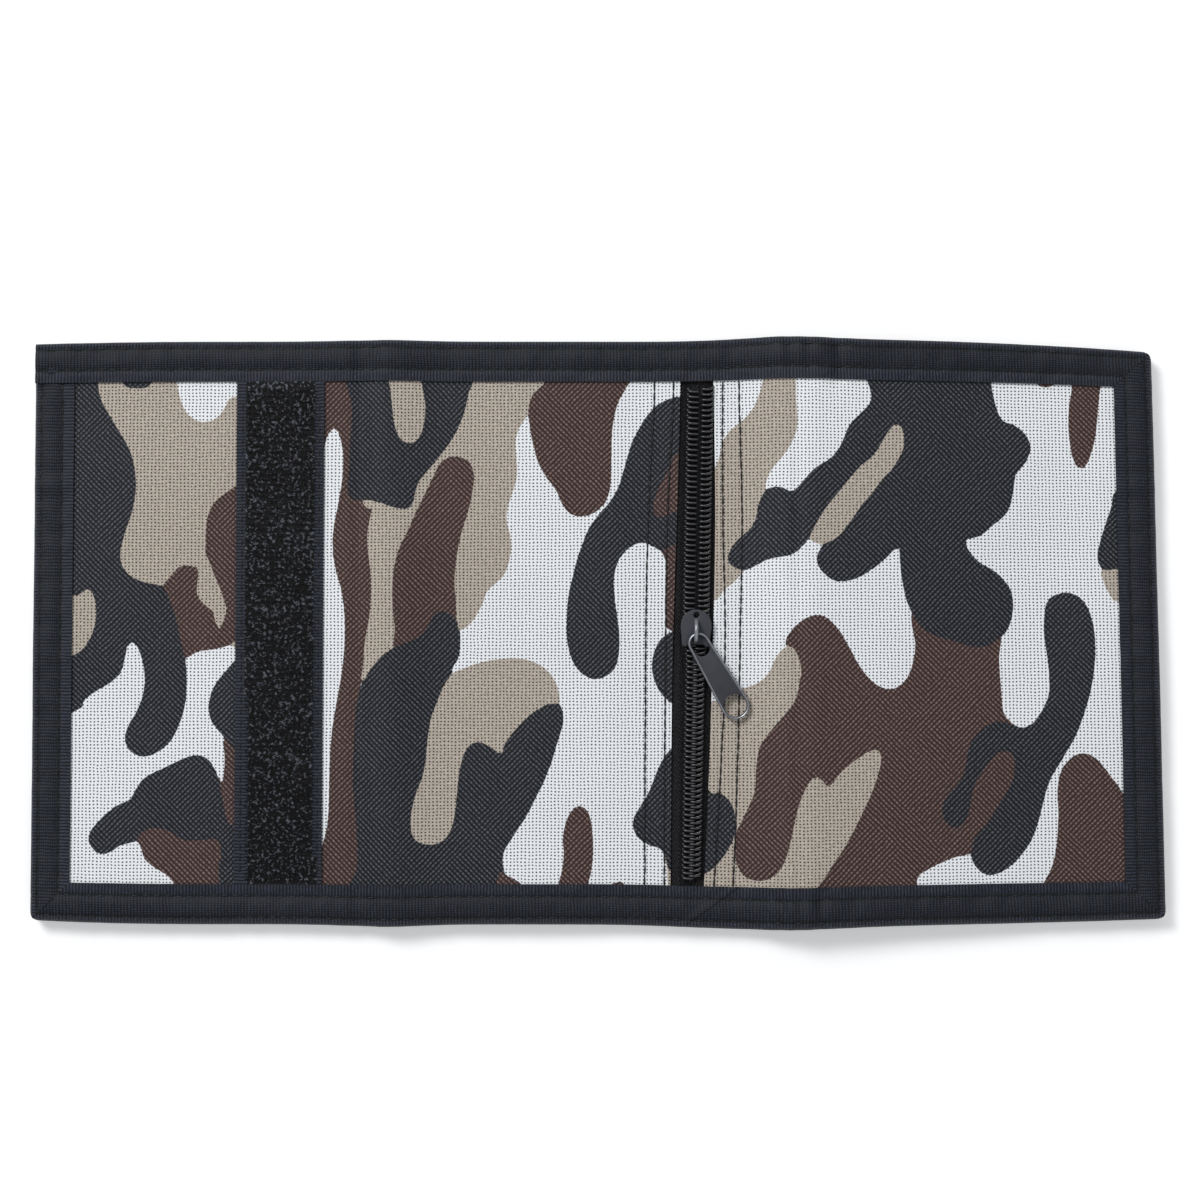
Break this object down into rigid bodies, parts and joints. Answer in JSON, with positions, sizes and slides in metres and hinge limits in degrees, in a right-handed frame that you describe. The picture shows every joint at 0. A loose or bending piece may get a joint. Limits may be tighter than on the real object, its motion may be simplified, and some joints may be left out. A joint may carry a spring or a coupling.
{
  "type": "trifold wallet",
  "caption": "Cloth trifold wallet lying open, with a zipped coin pocket across its back, card pockets, an ID window, a note compartment and a hook-and-loop closure.",
  "frame": {"origin": "middle of the underside, on the surface that the open wallet lies on", "axes": "+X along the open wallet towards the flap with the loop tape, +Y towards the note compartment's mouth, +Z out of the printed outer face"},
  "size_m": [0.245, 0.126, 0.0082],
  "materials": {
    "camo_oxford": "printed oxford polyester, plain weave, slight sheen",
    "lining_cloth": "thin black polyester lining",
    "pocket_cloth": "black nylon pack cloth",
    "binding_tape": "black ribbed grosgrain tape",
    "hook_tape": "black nylon hook tape",
    "loop_tape": "black brushed loop tape",
    "clear_vinyl": "clear soft vinyl",
    "zip_tape": "black herringbone zip tape",
    "zip_coil": "black nylon coil",
    "slider_metal": "dark grey painted zinc, satin"
  },
  "bodies": {
    "middle_panel": {"shell_centre": "camo_oxford", "shell_zip_side": "camo_oxford", "coin_lining_centre": "lining_cloth", "note_divider_centre": "pocket_cloth", "divider_edging_centre": "binding_tape", "binding_top_centre": "binding_tape", "binding_bottom_centre": "binding_tape", "card_pocket_rear": "pocket_cloth", "card_pocket_middle": "pocket_cloth", "card_pocket_front": "pocket_cloth", "card_pocket_edging_rear": "binding_tape", "card_pocket_edging_middle": "binding_tape", "card_pocket_edging_front": "binding_tape", "zip_tape_left": "zip_tape", "zip_tape_right": "zip_tape", "zip_row_left": "zip_coil", "zip_row_right": "zip_coil"},
    "left_panel": {"shell_left": "camo_oxford", "coin_lining_left": "lining_cloth", "note_divider_left": "pocket_cloth", "divider_edging_left": "binding_tape", "binding_top_left": "binding_tape", "binding_bottom_left": "binding_tape", "binding_end_left": "binding_tape", "id_window_frame": "pocket_cloth", "id_window": "clear_vinyl", "hook_tape": "hook_tape"},
    "right_panel": {"shell_right": "camo_oxford", "coin_lining_right": "lining_cloth", "note_divider_right": "pocket_cloth", "divider_edging_right": "binding_tape", "binding_top_right": "binding_tape", "binding_bottom_right": "binding_tape", "binding_end_right": "binding_tape", "slip_pocket_rear": "pocket_cloth", "slip_pocket_front": "pocket_cloth", "slip_pocket_edging_rear": "binding_tape", "slip_pocket_edging_front": "binding_tape", "loop_tape": "loop_tape"},
    "slider": {"zip_slider": "slider_metal"},
    "pull": {"zip_pull": "slider_metal"}
  },
  "joints": [
    {"name": "left_fold", "type": "hinge", "parent": "middle_panel", "child": "left_panel", "pos_m": [-0.0493, 0, -0.00015], "axis": [0, -1, 0], "range_deg": [0, 179.5]},
    {"name": "right_fold", "type": "hinge", "parent": "middle_panel", "child": "right_panel", "pos_m": [0.04, 0, -0.00315], "axis": [0, 1, 0], "range_deg": [0, 179.5]},
    {"name": "slider_run", "type": "slide", "parent": "middle_panel", "child": "slider", "axis": [0.0192, 0.9998, 0], "range_m": [-0.0505, 0.0485]},
    {"name": "pull_flip", "type": "hinge", "parent": "slider", "child": "pull", "pos_m": [0.02174, -0.00055, 0.00675], "axis": [-0.8616, -0.5075, 0], "range_deg": [0, 140]}
  ]
}
